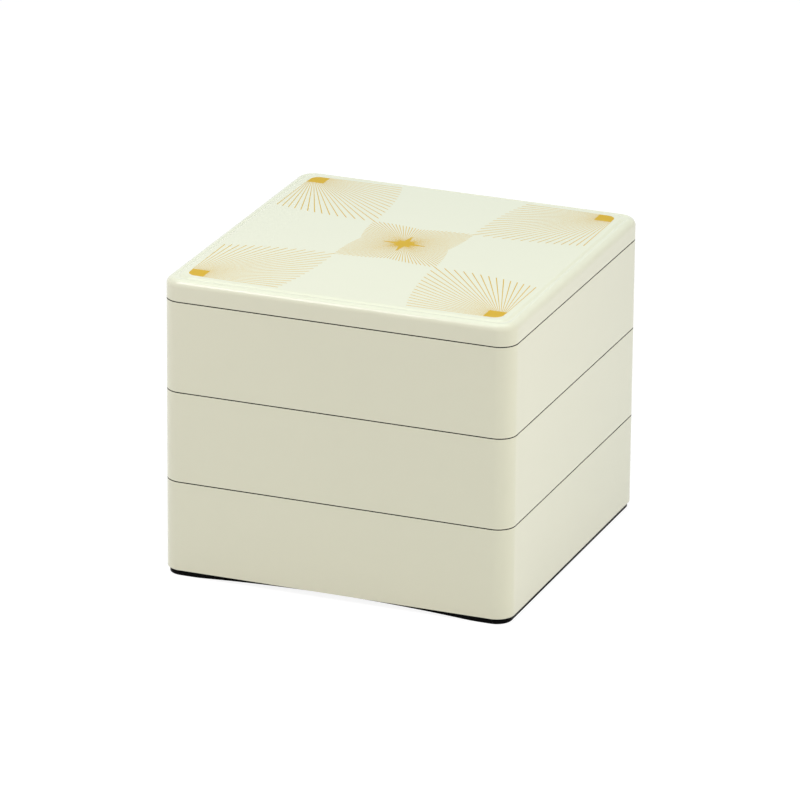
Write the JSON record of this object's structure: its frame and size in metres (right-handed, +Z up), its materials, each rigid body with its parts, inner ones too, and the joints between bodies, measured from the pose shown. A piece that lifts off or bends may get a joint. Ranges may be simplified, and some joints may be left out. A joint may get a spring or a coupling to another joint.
{
  "type": "stacking food box",
  "caption": "Square stacking lacquered food box: equal tiers that nest on stepped rims under a shallow lid with rounded shoulders and a raised, gently crowned panel.",
  "frame": {"origin": "on the ground, under the middle of the stack", "axes": "+Z up through the stack, +Y towards the back, +X to the right; the arched sides of the feet face front and back"},
  "size_m": [0.195, 0.195, 0.166],
  "materials": {
    "ivory_lacquer": "smooth ivory white lacquer with a soft satin gloss",
    "black_lacquer": "smooth black lacquer, glossy",
    "gold_print": "flat gold screen print with a faint metallic sheen"
  },
  "bodies": {
    "bottom_tier": {"tier_bottom_wall": "ivory_lacquer", "tier_bottom_base": "black_lacquer"},
    "middle_tier": {"tier_middle_wall": "ivory_lacquer", "tier_middle_base": "black_lacquer"},
    "top_tier": {"tier_top_wall": "ivory_lacquer", "tier_top_base": "black_lacquer"},
    "lid": {"lid_shell": "ivory_lacquer", "lid_register": "black_lacquer"}
  },
  "joints": [
    {"name": "middle_tier_lift", "type": "slide", "parent": "bottom_tier", "child": "middle_tier", "axis": [0, 0, 1], "range_m": [0, 0.06]},
    {"name": "top_tier_lift", "type": "slide", "parent": "middle_tier", "child": "top_tier", "axis": [0, 0, 1], "range_m": [0, 0.06]},
    {"name": "lid_lift", "type": "slide", "parent": "top_tier", "child": "lid", "axis": [0, 0, 1], "range_m": [0, 0.06]}
  ]
}
